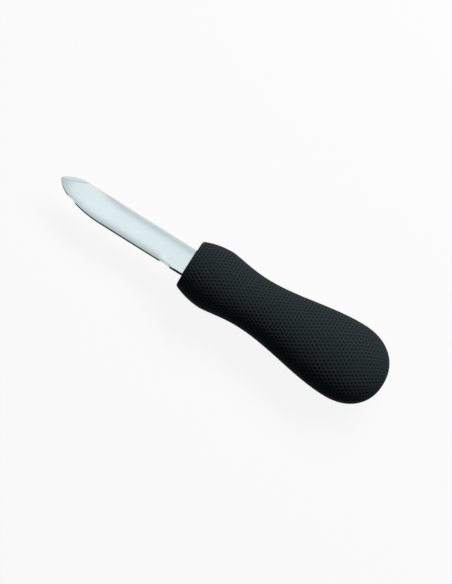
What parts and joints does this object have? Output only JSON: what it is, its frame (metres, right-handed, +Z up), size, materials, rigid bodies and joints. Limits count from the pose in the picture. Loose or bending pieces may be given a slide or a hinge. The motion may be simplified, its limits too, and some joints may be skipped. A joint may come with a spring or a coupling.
{
  "type": "oyster knife",
  "caption": "Oyster knife with a short stiff steel blade ending in a rounded point, on a hidden tang, and a bulbous black soft grip covered in fine dimples.",
  "frame": {"origin": "centre of the whole knife's bounding box, at the level that the handle lies on", "axes": "+X along the knife from the blade's point to the butt, +Y towards the blade's spine, +Z up out of the blade's upper flat"},
  "size_m": [0.1892, 0.0415, 0.029],
  "materials": {
    "blade_steel": "satin ground stainless steel",
    "core_plastic": "moulded, hidden inside the grip",
    "grip_rubber": "matte black, covered in fine round dimples"
  },
  "bodies": {
    "root": {"blade": "blade_steel", "handle_core": "core_plastic", "grip": "grip_rubber"}
  },
  "joints": []
}
